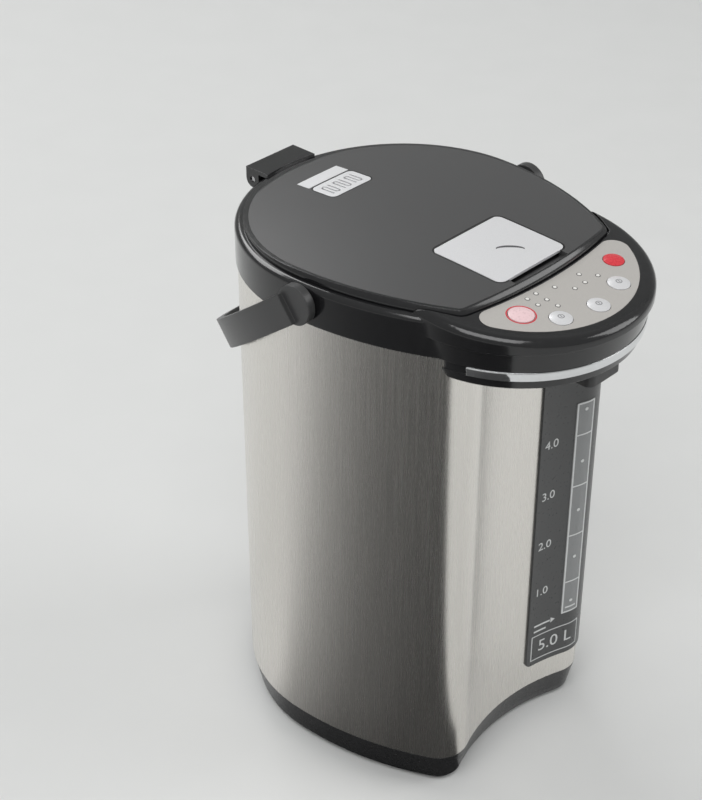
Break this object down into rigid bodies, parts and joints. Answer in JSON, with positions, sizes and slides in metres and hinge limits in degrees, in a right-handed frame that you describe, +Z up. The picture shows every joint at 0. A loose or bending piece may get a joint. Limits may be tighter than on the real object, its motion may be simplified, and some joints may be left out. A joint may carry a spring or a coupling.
{
  "type": "electric thermo pot",
  "caption": "Tall steel-walled electric water pot with a bowed body, round front beak with buttons and a spout, hinged lid, level gauge and swinging carry handle.",
  "frame": {"origin": "on the surface the pot stands on, under the middle of the whole pot's box", "axes": "+Z up, the front with the spout and panel faces -Y, and the left and right sides mirror across X"},
  "size_m": [0.2234, 0.2896, 0.367],
  "materials": {
    "brushed_steel_shell": "brushed vertical grain, satin",
    "gloss_black": "polished black moulding",
    "satin_black": "fine satin texture",
    "dark_grey_panel": "smooth dark grey",
    "clear_window": "clear smoked plastic",
    "glass_tube": "clear glass",
    "silver_plastic": "silver painted, soft gloss",
    "panel_silver": "warm silver film, soft gloss",
    "red_button": "red gloss",
    "pink_button": "pale pink gloss",
    "lamp_lens": "milky lens",
    "chrome": "bright plating",
    "steel": "drawn stainless steel",
    "rubber": "matt black",
    "silicone": "translucent white silicone",
    "white_plastic": "white moulding",
    "mica_heater": "metal clad heater",
    "circuit_board": "green board",
    "brass": "plain"
  },
  "bodies": {
    "pot": {"base_ring": "gloss_black", "base_plate": "satin_black", "rubber_feet": "rubber", "outer_shell": "brushed_steel_shell", "gauge_panel": "dark_grey_panel", "gauge_window": "clear_window", "collar": "gloss_black", "lid_hinge_pin": "steel", "beak_bottom_cover": "gloss_black", "chrome_trim": "chrome", "spout_block": "satin_black", "spout_nozzle": "satin_black", "control_panel": "panel_silver", "status_lights": "lamp_lens", "control_board": "circuit_board", "key_switches": "satin_black", "inner_tank": "steel", "keep_warm_heater": "mica_heater", "boil_heater": "mica_heater", "tank_cradle": "steel", "thermostat": "white_plastic", "temperature_sensor": "brass", "pump_motor": "steel", "pump_housing": "white_plastic", "level_tube": "glass_tube", "suction_hose": "silicone", "delivery_hose": "silicone", "outlet_hose": "silicone", "power_inlet": "satin_black", "inlet_pins": "brass", "power_board": "circuit_board", "handle_pivots": "gloss_black"},
    "lid": {"lid_rim": "gloss_black", "lid_top_panel": "satin_black", "steam_vent_plate": "silver_plastic", "lid_label_plate": "silver_plastic", "lid_inner_cover": "steel", "lid_gasket": "silicone", "steam_tube": "white_plastic", "lever_pin": "steel", "latch_housing": "satin_black"},
    "lever": {"release_lever": "silver_plastic"},
    "latch": {"latch_bolt": "white_plastic"},
    "handle": {"carry_handle": "satin_black"},
    "impeller": {"pump_impeller": "white_plastic"},
    "dispense_button_body": {"dispense_button": "red_button"},
    "power_button_body": {"power_button": "pink_button"},
    "left_key_body": {"left_key": "silver_plastic"},
    "middle_key_body": {"middle_key": "silver_plastic"},
    "right_key_body": {"right_key": "silver_plastic"}
  },
  "joints": [
    {"name": "lid_hinge", "type": "hinge", "parent": "pot", "child": "lid", "pos_m": [0, 0.1365, 0.355], "axis": [-1, 0, 0], "range_deg": [0, 80]},
    {"name": "lever_hinge", "type": "hinge", "parent": "lid", "child": "lever", "pos_m": [0, -0.0255, 0.365], "axis": [-1, 0, 0], "range_deg": [0, 30], "stiffness_Nm_per_rad": 0.03, "springref_deg": -17.19},
    {"name": "latch_slide", "type": "slide", "parent": "lid", "child": "latch", "axis": [0, 1, 0], "range_m": [0, 0.0035]},
    {"name": "handle_pivot", "type": "hinge", "parent": "pot", "child": "handle", "pos_m": [0, 0.014, 0.3485], "axis": [-1, 0, 0], "range_deg": [-200, 0]},
    {"name": "impeller_spin", "type": "hinge", "parent": "pot", "child": "impeller", "pos_m": [0.024, 0.008, 0.038], "axis": [0, 0, 1], "continuous": true},
    {"name": "dispense_button_press", "type": "slide", "parent": "pot", "child": "dispense_button_body", "axis": [0, 0.0958, -0.9954], "range_m": [0, 0.0008], "stiffness_N_per_m": 300, "springref_m": -0.001},
    {"name": "power_button_press", "type": "slide", "parent": "pot", "child": "power_button_body", "axis": [0, 0.0958, -0.9954], "range_m": [0, 0.0008], "stiffness_N_per_m": 300, "springref_m": -0.001},
    {"name": "left_key_press", "type": "slide", "parent": "pot", "child": "left_key_body", "axis": [0, 0.0958, -0.9954], "range_m": [0, 0.0008], "stiffness_N_per_m": 300, "springref_m": -0.001},
    {"name": "middle_key_press", "type": "slide", "parent": "pot", "child": "middle_key_body", "axis": [0, 0.0958, -0.9954], "range_m": [0, 0.0008], "stiffness_N_per_m": 300, "springref_m": -0.001},
    {"name": "right_key_press", "type": "slide", "parent": "pot", "child": "right_key_body", "axis": [0, 0.0958, -0.9954], "range_m": [0, 0.0008], "stiffness_N_per_m": 300, "springref_m": -0.001}
  ],
  "couplings": [
    {"joint": "latch_slide", "follows": "lever_hinge", "m_per_rad": 0.0065}
  ]
}
